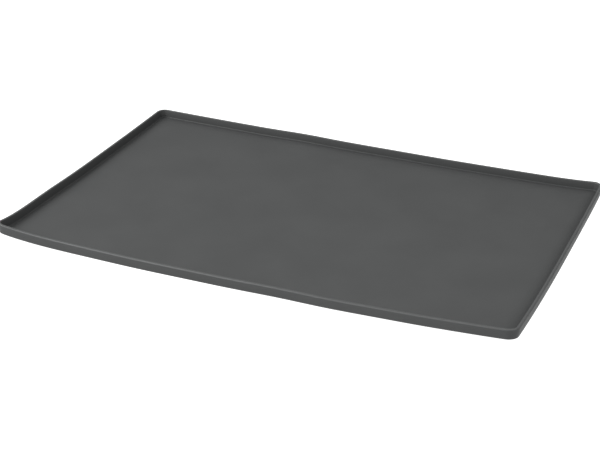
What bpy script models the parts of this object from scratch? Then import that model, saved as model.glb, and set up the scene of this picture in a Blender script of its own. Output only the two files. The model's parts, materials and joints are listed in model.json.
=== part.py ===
"""Seedling heat mat: a moulded silicone tray with a raised rim, a sealed film heater under its floor,
and a low inlet box behind the rear rim where the lead would enter.

Metres, +Z up. X is the long side, +Y the rear. The origin is on the surface that the mat stands on,
under the middle of the tray.
"""

from math import atan, cos, pi, radians, sin

import bmesh
import bpy
from mathutils import Vector

# ---- Driving dimensions: the tray ----
TRAY_LENGTH = 0.600
TRAY_WIDTH = 0.400
CORNER_RADIUS = 0.012
RIM_TOP = 0.0124
RIM_THICKNESS = 0.0032
FLOOR_TOP = 0.0028
FLOOR_FILLET = 0.0024
SKIN_UNDERSIDE = 0.0021
FOOT_HEIGHT = 0.0008  # the tray's lower edge stands this far off the table
LIP_WIDTH = 0.006  # the tray's bottom lip, outside the heater's recess
EDGE_ROUND = 0.0006
CORNER_STEPS = 6

# ---- The sealed stack in the recess, as (lowest, highest) levels ----
BASE_LEVELS = (0.00080, 0.00130)
SEAL_LEVELS = (0.00135, 0.00205)
FLEECE_LEVELS = (0.00134, 0.00152)
LOWER_FILM_LEVELS = (0.00156, 0.00164)
TRACK_LEVELS = (0.00168, 0.00176)
UPPER_FILM_LEVELS = (0.00180, 0.00188)
SPREADER_LEVELS = (0.00192, 0.00202)
FIT_GAP = 0.0003
SEAL_WIDTH = 0.0072
FILM_INSET = 0.0140
SPREADER_INSET = 0.0160

# ---- The heating track: columns of one ribbon, out and back to two tails ----
TRACK_WIDTH = 0.005
RUN_PITCH = 0.020
RUN_COUNT = 28
RUN_FRONT = -0.165
RUN_REAR = 0.155
BUS_Y = 0.178
BUS_TURN = 0.008
TAIL_X = 0.006
TAIL_END = 0.2075
TURN_STEPS = 6
FILM_TAIL_HALF = 0.012
FILM_TAIL_END = 0.2045

# ---- Feet ----
FOOT_RADIUS = 0.009
FOOT_THICKNESS = 0.00075
FOOT_COLUMNS = {"left": -0.200, "centre": 0.0, "right": 0.200}
FOOT_ROWS = {"front": -0.120, "middle": 0.0, "rear": 0.120}

# ---- The inlet box behind the rear rim ----
BOX_HALF = 0.036
BOX_FRONT = TRAY_WIDTH / 2 + FIT_GAP
BOX_DEPTH = 0.013
BOX_BOTTOM = 0.0007
BOX_FLOOR = 0.00145
BOX_WALL = 0.0012
BOX_CREST = 0.0111  # height of the lid's top face at the box's front
LID_SLOPE = 0.44
LID_THICKNESS = 0.0012
GASKET_THICKNESS = 0.00025
PARTING_GAP = 0.00005
TONGUE_HALF = 0.0130
TONGUE_LEVELS = (0.00085, 0.00140)
NOTCH_HALF = 0.0135
NOTCH_TOP = 0.0020
WINDOW_HALF = 0.0127
PILLAR_DEPTH = 0.0025
PILLAR_WIDTH = 0.0038

# ---- Gland at the box's left end ----
GLAND_Y = 0.2062
GLAND_Z = 0.0040
GLAND_BORE = 0.0021
SPIGOT_RADIUS = 0.0025
SPIGOT_LENGTH = 0.006
NUT_RADIUS = 0.0037
NUT_RIBS = 18
RIB_DEPTH = 0.00025
NUT_CAVITY_RADIUS = 0.0027
NUT_START = -0.0370
NUT_END = -0.0448
SEAL_START = -0.0421
SEAL_END = -0.0433

# ---- Screws, terminals, cut-out and leads ----
SCREW_X = 0.0333
SCREW_Y = 0.2026
SCREW_HEAD_RADIUS = 0.0014
SCREW_HEAD_HEIGHT = 0.0008
SCREW_SHANK_RADIUS = 0.0006
SCREW_LENGTH = 0.0036
PILOT_GAP = 0.00005
CLEARANCE_GAP = 0.00015
DRIVER_SLOT_HALF = 0.0002
TERMINAL_X = (-0.0260, -0.0160)
TERMINAL_Y = (0.2020, 0.2108)
TERMINAL_LEVELS = (0.0015, 0.0050)
TERMINAL_SCREW_Y = {"live": 0.2090, "neutral": 0.2044}
TERMINAL_SCREW_RADIUS = 0.0012
TERMINAL_SCREW_SUNK = 0.0012
TERMINAL_SCREW_PROUD = 0.0002
TOUCH_GAP = 0.0001  # between pieces in the box that butt against each other
CUTOUT_X = (0.0140, 0.0290)
CUTOUT_Y = (0.2030, 0.2100)
CUTOUT_LEVELS = (0.0015, 0.0047)
CRIMP_Y = (0.2060, 0.2095)
CRIMP_HALF = 0.0033
CRIMP_LEVELS = (0.0015, 0.0024)
CRIMP_SLOT_HALF = 0.0027
CRIMP_SLOT_LEVELS = (0.00160, 0.00200)
LEAD_RADIUS = 0.00045

CUTTER_PAD = 0.002  # how far a cutter runs past the face it cuts


def clear_scene():
    """Empties the scene without closing the file that this runs from."""
    for obj in list(bpy.data.objects):
        bpy.data.objects.remove(obj, do_unlink=True)


def linear(channel):
    """One sRGB channel, 0 to 255, as the linear value that a shader takes."""
    share = channel / 255
    return share / 12.92 if share <= 0.04045 else ((share + 0.055) / 1.055) ** 2.4


def make_material(name, srgb, roughness, metallic=0.0):
    material = bpy.data.materials.new(name)
    material.use_nodes = True
    shader = material.node_tree.nodes["Principled BSDF"]
    shader.inputs["Base Color"].default_value = (*[linear(c) for c in srgb], 1.0)
    shader.inputs["Roughness"].default_value = roughness
    shader.inputs["Metallic"].default_value = metallic
    return material


def add_object(name, bm, material, smooth=True):
    """Turns a bmesh into a named object, shaded smooth with its edges kept sharp."""
    bmesh.ops.recalc_face_normals(bm, faces=bm.faces)
    mesh = bpy.data.meshes.new(name)
    bm.to_mesh(mesh)
    bm.free()
    if smooth:
        mesh.shade_smooth()
        mesh.set_sharp_from_angle(angle=radians(35))
    obj = bpy.data.objects.new(name, mesh)
    bpy.context.scene.collection.objects.link(obj)
    if material is not None:
        mesh.materials.append(material)
    return obj


def hide_helper(obj):
    obj.hide_render = True
    obj.display_type = "WIRE"
    return obj


def cut(target, cutter):
    """Takes the cutter's shape out of the target."""
    modifier = target.modifiers.new("cut " + cutter.name, "BOOLEAN")
    modifier.operation = "DIFFERENCE"
    modifier.solver = "EXACT"
    modifier.object = hide_helper(cutter)


def join(target, helper):
    """Adds the helper's shape to the target."""
    modifier = target.modifiers.new("join " + helper.name, "BOOLEAN")
    modifier.operation = "UNION"
    modifier.solver = "EXACT"
    modifier.object = hide_helper(helper)


def arc(centre_a, centre_b, radius, start, end, steps):
    """Points of an arc in a plane, from start to end in degrees, both ends included."""
    angles = [radians(start + (end - start) * k / steps) for k in range(steps + 1)]
    return [(centre_a + radius * cos(t), centre_b + radius * sin(t)) for t in angles]


def rounded_outline(inset):
    """The tray's outline moved in by inset, anticlockwise from the rear right corner, as (x, y)."""
    radius = max(CORNER_RADIUS - inset, 0.002)
    x = TRAY_LENGTH / 2 - inset - radius
    y = TRAY_WIDTH / 2 - inset - radius
    outline = []
    corners = ((x, y, 0), (-x, y, 90), (-x, -y, 180), (x, -y, 270))
    for centre_x, centre_y, start in corners:
        outline += arc(centre_x, centre_y, radius, start, start + 90, CORNER_STEPS)
    return outline


def with_tail(outline, half_width, tail_end):
    """The outline with a tab on its rear edge, after the rear right corner's points."""
    rear = max(y for _, y in outline)
    tab = [(half_width, rear), (half_width, tail_end), (-half_width, tail_end), (-half_width, rear)]
    split = CORNER_STEPS + 1
    return outline[:split] + tab + outline[split:]


def extrude_outline(bm, points, move):
    """Makes one face from 3-D points and extrudes it by move into a closed prism."""
    face = bm.faces.new([bm.verts.new(p) for p in points])
    made = bmesh.ops.extrude_face_region(bm, geom=[face])["geom"]
    new_verts = [item for item in made if isinstance(item, bmesh.types.BMVert)]
    bmesh.ops.translate(bm, verts=new_verts, vec=move)


def flat_sheet(name, outline, levels, material):
    """A flat sheet of the outline between two levels."""
    bm = bmesh.new()
    low, high = levels
    extrude_outline(bm, [(x, y, low) for x, y in outline], (0, 0, high - low))
    return add_object(name, bm, material, smooth=False)


def block(name, x_span, y_span, z_span, material=None):
    """A rectangular block between three pairs of limits."""
    bm = bmesh.new()
    bmesh.ops.create_cube(bm, size=1.0)
    size = [high - low for low, high in (x_span, y_span, z_span)]
    centre = [(high + low) / 2 for low, high in (x_span, y_span, z_span)]
    bmesh.ops.scale(bm, vec=size, verts=bm.verts)
    bmesh.ops.translate(bm, vec=centre, verts=bm.verts)
    return add_object(name, bm, material, smooth=False)


def prism_along_x(name, profile, half_length, material=None):
    """A (y, z) profile extruded along X, centred on X = 0."""
    bm = bmesh.new()
    points = [(-half_length, y, z) for y, z in profile]
    extrude_outline(bm, points, (2 * half_length, 0, 0))
    return add_object(name, bm, material, smooth=False)


def turned(name, profile, material=None, steps=24):
    """A closed (radius, height) profile spun round its own Z axis. A radius of 0 lies on the axis."""
    bm = bmesh.new()
    verts = [bm.verts.new((radius, 0, height)) for radius, height in profile]
    edges = [bm.edges.new(pair) for pair in zip(verts, verts[1:])]
    if profile[0][0] > 0:
        edges.append(bm.edges.new((verts[-1], verts[0])))
    bmesh.ops.spin(
        bm, geom=verts + edges, cent=(0, 0, 0), axis=(0, 0, 1), angle=2 * pi, steps=steps,
        use_merge=True,
    )
    bmesh.ops.remove_doubles(bm, verts=bm.verts, dist=1e-6)
    return add_object(name, bm, material)


def disc(name, radius, height, material=None):
    """A short upright cylinder that stands on its own origin."""
    return turned(name, [(0, 0), (radius, 0), (radius, height), (0, height)], material, steps=16)


def bevel_edges(obj, width, segments=2):
    modifier = obj.modifiers.new("eased edges", "BEVEL")
    modifier.width = width
    modifier.segments = segments
    modifier.limit_method = "ANGLE"
    modifier.angle_limit = radians(40)
    return obj


# ---- Tray, base and heater stack ----


def tray_section():
    """The tray wall's section as (inset, height), from the floor, over the rim and round to the recess."""
    half_rim = RIM_THICKNESS / 2
    fillet_inset = RIM_THICKNESS + FLOOR_FILLET
    fillet = arc(fillet_inset, FLOOR_TOP + FLOOR_FILLET, FLOOR_FILLET, 270, 180, 3)
    rim = arc(half_rim, RIM_TOP - half_rim, half_rim, 0, 180, 6)
    foot = arc(EDGE_ROUND, FOOT_HEIGHT + EDGE_ROUND, EDGE_ROUND, 180, 270, 2)
    recess = [(LIP_WIDTH, FOOT_HEIGHT), (LIP_WIDTH, SKIN_UNDERSIDE)]
    return fillet + rim + foot + recess


def make_tray(material):
    """The moulded tray: one section carried round the rounded rectangle, closed by floor and ceiling."""
    bm = bmesh.new()
    loops = []
    for inset, height in tray_section():
        verts = [bm.verts.new((x, y, height)) for x, y in rounded_outline(inset)]
        loops.append([bm.edges.new((a, b)) for a, b in zip(verts, verts[1:] + verts[:1])])
    for inner, outer in zip(loops, loops[1:]):
        bmesh.ops.bridge_loops(bm, edges=inner + outer)
    bmesh.ops.contextual_create(bm, geom=loops[0])
    bmesh.ops.contextual_create(bm, geom=loops[-1])
    tray = add_object("tray_shell", bm, material)
    rear = TRAY_WIDTH / 2
    notch = block(
        "lead_notch",
        (-NOTCH_HALF, NOTCH_HALF),
        (rear - LIP_WIDTH - CUTTER_PAD, rear + CUTTER_PAD),
        (-CUTTER_PAD, NOTCH_TOP),
    )
    cut(tray, notch)
    return tray


def make_perimeter_seal(material):
    """The die-cut bonding frame round the recess, left open where the heater's tail leaves."""
    outer = LIP_WIDTH + FIT_GAP
    seal = flat_sheet("perimeter_seal", rounded_outline(outer), SEAL_LEVELS, material)
    low, high = SEAL_LEVELS
    through = (low - CUTTER_PAD, high + CUTTER_PAD)
    cut(seal, flat_sheet("seal_window", rounded_outline(outer + SEAL_WIDTH), through, None))
    rear = TRAY_WIDTH / 2 - outer
    gap = block(
        "seal_gap",
        (-NOTCH_HALF, NOTCH_HALF),
        (rear - SEAL_WIDTH - CUTTER_PAD, rear + CUTTER_PAD),
        through,
    )
    cut(seal, gap)


def track_route():
    """The heating ribbon's centre line as (x, y), from one tail round every column to the other."""
    first = -RUN_PITCH * (RUN_COUNT - 1) / 2
    turn = RUN_PITCH / 2
    tail_centre = TAIL_X + BUS_TURN
    route = [(-TAIL_X, TAIL_END)]
    route += arc(-tail_centre, BUS_Y + BUS_TURN, BUS_TURN, 0, -90, TURN_STEPS)
    route += arc(first + BUS_TURN, BUS_Y - BUS_TURN, BUS_TURN, 90, 180, TURN_STEPS)
    for run in range(RUN_COUNT - 1):
        middle = first + RUN_PITCH * run + turn
        if run % 2 == 0:
            route += arc(middle, RUN_FRONT, turn, 180, 360, TURN_STEPS)
        else:
            route += arc(middle, RUN_REAR, turn, 180, 0, TURN_STEPS)
    route += arc(-first - BUS_TURN, BUS_Y - BUS_TURN, BUS_TURN, 0, 90, TURN_STEPS)
    route += arc(tail_centre, BUS_Y + BUS_TURN, BUS_TURN, 270, 180, TURN_STEPS)
    route.append((TAIL_X, TAIL_END))
    return [Vector(point) for point in route]


def make_track(material):
    """The etched heating track: a flat ribbon along the route."""
    route = track_route()
    low, high = TRACK_LEVELS
    bm = bmesh.new()
    rows = []
    for index, point in enumerate(route):
        before = route[max(index - 1, 0)]
        after = route[min(index + 1, len(route) - 1)]
        along = (after - before).normalized()
        side = Vector((-along.y, along.x)) * TRACK_WIDTH / 2
        ends = (point + side, point - side)
        rows.append([bm.verts.new((end.x, end.y, low)) for end in ends])
    for (left, right), (next_left, next_right) in zip(rows, rows[1:]):
        bm.faces.new((left, right, next_right, next_left))
    made = bmesh.ops.extrude_face_region(bm, geom=bm.faces[:])["geom"]
    raised = [item for item in made if isinstance(item, bmesh.types.BMVert)]
    bmesh.ops.translate(bm, verts=raised, vec=(0, 0, high - low))
    return add_object("heating_track", bm, material, smooth=False)


def make_stack(materials):
    """Everything sealed between the tray's floor and the base cover."""
    base_outline = rounded_outline(LIP_WIDTH + FIT_GAP)
    film = rounded_outline(FILM_INSET)
    film_with_tail = with_tail(film, FILM_TAIL_HALF, FILM_TAIL_END)
    flat_sheet("base_cover", base_outline, BASE_LEVELS, materials["silicone"])
    make_perimeter_seal(materials["bond"])
    flat_sheet("insulation_fleece", film, FLEECE_LEVELS, materials["fleece"])
    flat_sheet("lower_film", film_with_tail, LOWER_FILM_LEVELS, materials["film"])
    make_track(materials["track"])
    flat_sheet("upper_film", film_with_tail, UPPER_FILM_LEVELS, materials["film"])
    spreader = rounded_outline(SPREADER_INSET)
    flat_sheet("heat_spreader", spreader, SPREADER_LEVELS, materials["foil"])


def make_feet(material):
    """Nine grip pads under the base cover, in three rows of three."""
    ease = FOOT_THICKNESS / 3
    profile = [(0, 0), (FOOT_RADIUS - ease, 0), (FOOT_RADIUS, ease)]
    profile += [(FOOT_RADIUS, FOOT_THICKNESS), (0, FOOT_THICKNESS)]
    for row, y in FOOT_ROWS.items():
        for column, x in FOOT_COLUMNS.items():
            foot = turned(f"foot_{row}_{column}", profile, material)
            foot.location = (x, y, 0)


# ---- Inlet box ----


def lid_height(y, drop=0.0):
    """Height of the lid's sloping top at y, or of a face that is drop below it."""
    return BOX_CREST - LID_SLOPE * (y - BOX_FRONT) - drop


def wedge(front, rear, low, drop):
    """A (y, z) profile with a level bottom and a top that follows the lid, drop below it."""
    return [(front, low), (rear, low), (rear, lid_height(rear, drop)), (front, lid_height(front, drop))]


def band(front, rear, drop, thickness):
    """A (y, z) profile of a sloping plate, drop below the lid's top."""
    top = [(rear, lid_height(rear, drop)), (front, lid_height(front, drop))]
    return [(front, lid_height(front, drop + thickness)), (rear, lid_height(rear, drop + thickness))] + top


def screw_cutter(name, side, radius, head_gap=None):
    """A hole on a lid screw's axis, with a countersink for the head where head_gap is given."""
    profile = [(0, -SCREW_LENGTH - CUTTER_PAD), (radius, -SCREW_LENGTH - CUTTER_PAD)]
    if head_gap is not None:
        wide = SCREW_HEAD_RADIUS + head_gap
        profile += [(radius, radius - wide), (wide, 0)]
        radius = wide
    profile += [(radius, CUTTER_PAD), (0, CUTTER_PAD)]
    cutter = turned(name, profile, steps=16)
    place_on_lid(cutter, side)
    return cutter


def place_on_lid(obj, side):
    """Stands an object square to the lid, over the screw pillar on that side."""
    obj.location = (side * SCREW_X, SCREW_Y, lid_height(SCREW_Y))
    obj.rotation_euler = (-atan(LID_SLOPE), 0, 0)


def cylinder_along_x(name, start, end, radius, segments=24):
    """A cylinder on the gland's axis between two X positions."""
    bm = bmesh.new()
    bmesh.ops.create_cone(
        bm, cap_ends=True, segments=segments, radius1=radius, radius2=radius, depth=abs(end - start)
    )
    helper = add_object(name, bm, None)
    helper.rotation_euler = (0, pi / 2, 0)
    helper.location = ((start + end) / 2, GLAND_Y, GLAND_Z)
    return helper


def make_inlet_base(material):
    """The box's body: a wedge with a hollow, two screw pillars, a tongue under the rim and a spigot."""
    rear = BOX_FRONT + BOX_DEPTH
    parting = LID_THICKNESS + GASKET_THICKNESS + 2 * PARTING_GAP
    body = prism_along_x("inlet_base", wedge(BOX_FRONT, rear, BOX_BOTTOM, parting), BOX_HALF, material)
    spigot_end = -BOX_HALF - SPIGOT_LENGTH
    join(body, cylinder_along_x("spigot", spigot_end, -BOX_HALF + BOX_WALL / 2, SPIGOT_RADIUS))
    tongue_front = TRAY_WIDTH / 2 - LIP_WIDTH + FIT_GAP
    tongue_span = (tongue_front, BOX_FRONT + BOX_WALL / 2)
    join(body, block("tongue", (-TONGUE_HALF, TONGUE_HALF), tongue_span, TONGUE_LEVELS))
    front = BOX_FRONT + BOX_WALL
    open_top = -CUTTER_PAD
    hollow = wedge(front, rear - BOX_WALL, BOX_FLOOR, open_top)
    cut(body, prism_along_x("hollow", hollow, BOX_HALF - PILLAR_WIDTH - BOX_WALL))
    end_hollow = wedge(front + PILLAR_DEPTH, rear - BOX_WALL, BOX_FLOOR, open_top)
    cut(body, prism_along_x("end_hollow", end_hollow, BOX_HALF - BOX_WALL))
    window = block(
        "tail_window",
        (-WINDOW_HALF, WINDOW_HALF),
        (BOX_FRONT - CUTTER_PAD / 4, front + CUTTER_PAD / 4),
        (TONGUE_LEVELS[1], SKIN_UNDERSIDE),
    )
    cut(body, window)
    bore_end = -BOX_HALF + BOX_WALL + CUTTER_PAD / 4
    cut(body, cylinder_along_x("gland_bore", spigot_end - CUTTER_PAD, bore_end, GLAND_BORE))
    for side, word in ((-1, "left"), (1, "right")):
        cut(body, screw_cutter(f"pilot_hole_{word}", side, SCREW_SHANK_RADIUS + PILOT_GAP))


def make_inlet_lid(material, gasket_material):
    """The sloping lid and the gasket under it, with clearance holes for the two screws."""
    rear = BOX_FRONT + BOX_DEPTH
    lid = prism_along_x("inlet_lid", band(BOX_FRONT, rear, 0, LID_THICKNESS), BOX_HALF, material)
    bevel_edges(lid, 0.0003)
    drop = LID_THICKNESS + PARTING_GAP
    profile = band(BOX_FRONT, rear, drop, GASKET_THICKNESS)
    gasket = prism_along_x("inlet_gasket", profile, BOX_HALF, gasket_material)
    inner = band(BOX_FRONT + BOX_WALL, rear - BOX_WALL, drop - CUTTER_PAD, 2 * CUTTER_PAD)
    cut(gasket, prism_along_x("gasket_window", inner, BOX_HALF - PILLAR_WIDTH - BOX_WALL))
    for side, word in ((-1, "left"), (1, "right")):
        radius = SCREW_SHANK_RADIUS + CLEARANCE_GAP
        hole = screw_cutter(f"clearance_hole_{word}", side, radius, CLEARANCE_GAP)
        cut(lid, hole)
        cut(gasket, hole)


def make_lid_screws(material):
    """Two countersunk screws with a driver slot, flush with the lid."""
    shank = SCREW_SHANK_RADIUS
    profile = [(0, -SCREW_LENGTH), (shank * 0.6, -SCREW_LENGTH), (shank, -SCREW_LENGTH + shank)]
    profile += [(shank, -SCREW_HEAD_HEIGHT), (SCREW_HEAD_RADIUS, 0), (0, 0)]
    for side, word in ((-1, "left"), (1, "right")):
        screw = turned(f"lid_screw_{word}", profile, material, steps=16)
        place_on_lid(screw, side)
        slot = block(
            f"driver_slot_{word}",
            (-2 * SCREW_HEAD_RADIUS, 2 * SCREW_HEAD_RADIUS),
            (-DRIVER_SLOT_HALF, DRIVER_SLOT_HALF),
            (-SCREW_HEAD_HEIGHT / 2, CUTTER_PAD),
        )
        place_on_lid(slot, side)
        cut(screw, slot)


def make_gland(nut_material, seal_material):
    """The compression nut on the spigot and the rubber ring that it squeezes on to the lead."""
    ring = [(GLAND_BORE, 0), (SPIGOT_RADIUS, 0)]
    ring += [(SPIGOT_RADIUS, SEAL_START - SEAL_END), (GLAND_BORE, SEAL_START - SEAL_END)]
    seal = turned("gland_seal", ring, seal_material)
    seal.rotation_euler = (0, -pi / 2, 0)
    seal.location = (SEAL_START, GLAND_Y, GLAND_Z)

    bm = bmesh.new()
    points = []
    for index in range(2 * NUT_RIBS):
        radius = NUT_RADIUS - (index % 2) * RIB_DEPTH
        angle = pi * index / NUT_RIBS
        points.append((NUT_START, GLAND_Y + radius * cos(angle), GLAND_Z + radius * sin(angle)))
    extrude_outline(bm, points, (NUT_END - NUT_START, 0, 0))
    nut = add_object("gland_nut", bm, nut_material, smooth=False)
    shoulder = SEAL_END - TOUCH_GAP
    cut(nut, cylinder_along_x("nut_cavity", NUT_START + CUTTER_PAD, shoulder, NUT_CAVITY_RADIUS))
    cut(nut, cylinder_along_x("nut_bore", NUT_START + CUTTER_PAD, NUT_END - CUTTER_PAD, GLAND_BORE))


def make_wiring(materials):
    """Crimps on the two tails, the thermal cut-out, the terminal block and the three short leads."""
    for word, x in (("live", -TAIL_X), ("neutral", TAIL_X)):
        crimp = block(
            f"crimp_{word}", (x - CRIMP_HALF, x + CRIMP_HALF), CRIMP_Y, CRIMP_LEVELS, materials["tin"]
        )
        slot_y = (CRIMP_Y[0] - CUTTER_PAD, TAIL_END + FIT_GAP)
        slot_x = (x - CRIMP_SLOT_HALF, x + CRIMP_SLOT_HALF)
        cut(crimp, block(f"crimp_slot_{word}", slot_x, slot_y, CRIMP_SLOT_LEVELS))

    terminal = block("terminal_block", TERMINAL_X, TERMINAL_Y, TERMINAL_LEVELS, materials["terminal"])
    screw_x = sum(TERMINAL_X) / 2
    well_floor = TERMINAL_LEVELS[1] - TERMINAL_SCREW_SUNK
    for word, y in TERMINAL_SCREW_Y.items():
        height = TERMINAL_SCREW_SUNK + TERMINAL_SCREW_PROUD - TOUCH_GAP
        screw = disc(f"terminal_screw_{word}", TERMINAL_SCREW_RADIUS, height, materials["screw"])
        screw.location = (screw_x, y, well_floor + TOUCH_GAP)
        well = disc(f"terminal_well_{word}", TERMINAL_SCREW_RADIUS + TOUCH_GAP, 2 * CUTTER_PAD)
        well.location = (screw_x, y, well_floor)
        cut(terminal, well)

    block("thermal_cutout", CUTOUT_X, CUTOUT_Y, CUTOUT_LEVELS, materials["cutout"])
    for name, points in lead_routes().items():
        make_lead(name, points, materials["lead"])


def lead_routes():
    """The leads' own points, in metres, from the crimps and the cut-out to the terminals."""
    crimp_end = CRIMP_Y[1] + TOUCH_GAP
    terminal = TERMINAL_X[1] + TOUCH_GAP
    cutout_left = CUTOUT_X[0] - TOUCH_GAP
    cutout_right = CUTOUT_X[1] + TOUCH_GAP
    crimp_z = sum(CRIMP_SLOT_LEVELS) / 2 + 0.0003
    level = 0.0032
    front = 0.20225
    return {
        "lead_live": [
            (-TAIL_X, crimp_end, crimp_z),
            (-TAIL_X, crimp_end + 0.0007, crimp_z),
            (-TAIL_X - 0.0012, crimp_end + 0.0014, 0.0026),
            (-TAIL_X - 0.0045, crimp_end + 0.0008, level),
            (terminal + 0.0018, TERMINAL_SCREW_Y["live"], level),
            (terminal, TERMINAL_SCREW_Y["live"], level),
        ],
        "lead_neutral": [
            (TAIL_X, crimp_end, crimp_z),
            (TAIL_X, crimp_end + 0.0007, crimp_z),
            (TAIL_X + 0.0014, crimp_end + 0.0013, 0.0026),
            (TAIL_X + 0.0042, crimp_end + 0.0005, level),
            (cutout_left - 0.0013, 0.2080, level),
            (cutout_left, 0.2080, level),
        ],
        "lead_cutout": [
            (cutout_right, 0.2068, level),
            (cutout_right + 0.0008, 0.2068, level),
            (cutout_right + 0.0011, 0.2052, level),
            (cutout_right + 0.0011, 0.2037, level),
            (cutout_right + 0.0003, 0.2025, level),
            (cutout_right - 0.0016, front, level),
            (0.0100, front, level),
            (-0.0090, front, level),
            (-0.0120, 0.2036, level),
            (terminal + 0.0015, TERMINAL_SCREW_Y["neutral"], level),
            (terminal, TERMINAL_SCREW_Y["neutral"], level),
        ],
    }


def smooth_route(points, samples):
    """Points of a Catmull-Rom curve through the route's own points."""
    route = [Vector(p) for p in points]
    route = [2 * route[0] - route[1]] + route + [2 * route[-1] - route[-2]]
    curve = []
    for a, b, c, d in zip(route, route[1:], route[2:], route[3:]):
        for step in range(samples):
            t = step / samples
            curve.append(
                0.5 * (2 * b + (c - a) * t + (2 * a - 5 * b + 4 * c - d) * t**2
                       + (3 * b - a - 3 * c + d) * t**3)
            )
    return curve + [route[-2]]


def make_lead(name, points, material):
    """A round insulated lead along its route."""
    curve = bpy.data.curves.new(name, "CURVE")
    curve.dimensions = "3D"
    curve.bevel_depth = LEAD_RADIUS
    curve.bevel_resolution = 2
    curve.use_fill_caps = True
    line = smooth_route(points, 4)
    spline = curve.splines.new("POLY")
    spline.points.add(len(line) - 1)
    for point, place in zip(spline.points, line):
        point.co = (*place, 1)
    obj = bpy.data.objects.new(name, curve)
    curve.materials.append(material)
    bpy.context.scene.collection.objects.link(obj)


def make_materials():
    return {
        "silicone": make_material("moulded silicone", (92, 93, 92), 0.62),
        "bond": make_material("bonding frame", (46, 47, 48), 0.8),
        "fleece": make_material("aramid fleece", (226, 222, 208), 0.95),
        "film": make_material("polyester film", (176, 128, 62), 0.3),
        "track": make_material("resistance foil", (160, 154, 146), 0.35, 1.0),
        "foil": make_material("aluminium foil", (206, 208, 210), 0.3, 1.0),
        "housing": make_material("glass-filled nylon", (52, 53, 54), 0.5),
        "gasket": make_material("gasket rubber", (34, 34, 35), 0.8),
        "screw": make_material("stainless steel", (190, 190, 188), 0.3, 1.0),
        "terminal": make_material("terminal plastic", (222, 218, 206), 0.5),
        "cutout": make_material("cut-out case", (38, 38, 40), 0.4),
        "tin": make_material("tinned copper", (198, 196, 190), 0.35, 1.0),
        "lead": make_material("lead insulation", (196, 192, 182), 0.55),
    }


def main():
    clear_scene()
    materials = make_materials()
    make_tray(materials["silicone"])
    make_stack(materials)
    make_feet(materials["gasket"])
    make_inlet_base(materials["housing"])
    make_inlet_lid(materials["housing"], materials["gasket"])
    make_lid_screws(materials["screw"])
    make_gland(materials["housing"], materials["gasket"])
    make_wiring(materials)


main()
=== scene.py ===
# %% [markdown]
# # A seedling heat mat
#
# The mat is a soft silicone tray with a low rim. Seed trays stand on its floor. A film heater lies
# sealed under that floor, and a small box behind the rear rim takes the lead.
# The frame below holds the mat's measured pieces as plain solids, lying perfectly flat. Each cell
# after it replaces one of them with a finished piece, or gives it its real material.

# %% Load the frame
import json
import math

import bmesh
import bpy
import numpy as np
from mathutils import Matrix, Vector


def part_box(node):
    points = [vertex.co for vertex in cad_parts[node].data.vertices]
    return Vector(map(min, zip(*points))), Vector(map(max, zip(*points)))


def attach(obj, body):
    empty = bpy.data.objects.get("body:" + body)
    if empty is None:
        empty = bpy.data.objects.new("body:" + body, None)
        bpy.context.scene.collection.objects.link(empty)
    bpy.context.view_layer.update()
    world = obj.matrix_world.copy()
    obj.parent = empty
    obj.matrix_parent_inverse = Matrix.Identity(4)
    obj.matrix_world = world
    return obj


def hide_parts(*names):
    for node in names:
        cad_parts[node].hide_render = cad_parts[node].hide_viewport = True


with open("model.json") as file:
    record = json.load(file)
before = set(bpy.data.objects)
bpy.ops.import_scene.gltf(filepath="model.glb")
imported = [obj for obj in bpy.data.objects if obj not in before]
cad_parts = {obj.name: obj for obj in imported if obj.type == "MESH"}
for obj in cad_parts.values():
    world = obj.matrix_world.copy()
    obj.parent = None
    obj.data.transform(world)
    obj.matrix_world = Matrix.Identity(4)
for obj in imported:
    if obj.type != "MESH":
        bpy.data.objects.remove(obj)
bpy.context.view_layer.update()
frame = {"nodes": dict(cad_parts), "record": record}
print("nodes in the frame:", len(frame["nodes"]))

# %% [markdown]
# ## Sizes
#
# Every size starts from the frame, so that a finished piece lands where its plain solid is.
# Millimetres are easier to read than metres, so small sizes are written as a number times MM.

# %% Read the driving sizes
MM = 0.001
tray_low, tray_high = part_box("tray_shell")
LENGTH, WIDTH, RIM_TOP = tray_high.x - tray_low.x, tray_high.y - tray_low.y, tray_high.z
LIP_BOTTOM = tray_low.z
mounts = {mount["name"]: Vector(mount["pos_m"]) for mount in frame["record"]["mounts"]}
FLOOR = mounts["tray_floor"].z
CORNER_RADIUS = 12 * MM
print(f"tray {LENGTH:.3f} x {WIDTH:.3f} m, floor at {FLOOR / MM:.1f} mm, rim at {RIM_TOP / MM:.1f} mm")

# %% [markdown]
# ## The camera
#
# A long lens from a little above shows the whole floor with little narrowing towards the back. The
# camera stands on a line from the target, given by two angles and a distance, which is easier to
# adjust than a position. The last turn, about the lens's own axis, is the slight tilt of a camera
# that isn't quite level.

# %% Place the camera
CAMERA_TARGET = Vector((-1.65, -26.3, 0)) * MM
CAMERA_AZIMUTH = math.radians(22.35)
CAMERA_ELEVATION = math.radians(26.05)
CAMERA_DISTANCE = 1.6595
CAMERA_LENS = 86.59
CAMERA_ROLL = math.radians(0.894)

towards_camera = Vector(
    (
        math.sin(CAMERA_AZIMUTH) * math.cos(CAMERA_ELEVATION),
        -math.cos(CAMERA_AZIMUTH) * math.cos(CAMERA_ELEVATION),
        math.sin(CAMERA_ELEVATION),
    )
)
camera = bpy.data.objects.new("camera", bpy.data.cameras.new("camera"))
camera.data.lens = CAMERA_LENS
camera.data.clip_start = 0.01
turn = towards_camera.to_track_quat("Z", "Y").to_matrix().to_4x4()
place = Matrix.Translation(CAMERA_TARGET + towards_camera * CAMERA_DISTANCE)
camera.matrix_world = place @ turn @ Matrix.Rotation(CAMERA_ROLL, 4, "Z")
bpy.context.scene.collection.objects.link(camera)
bpy.context.scene.camera = camera
print("camera at", [round(v, 3) for v in camera.location])

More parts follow.
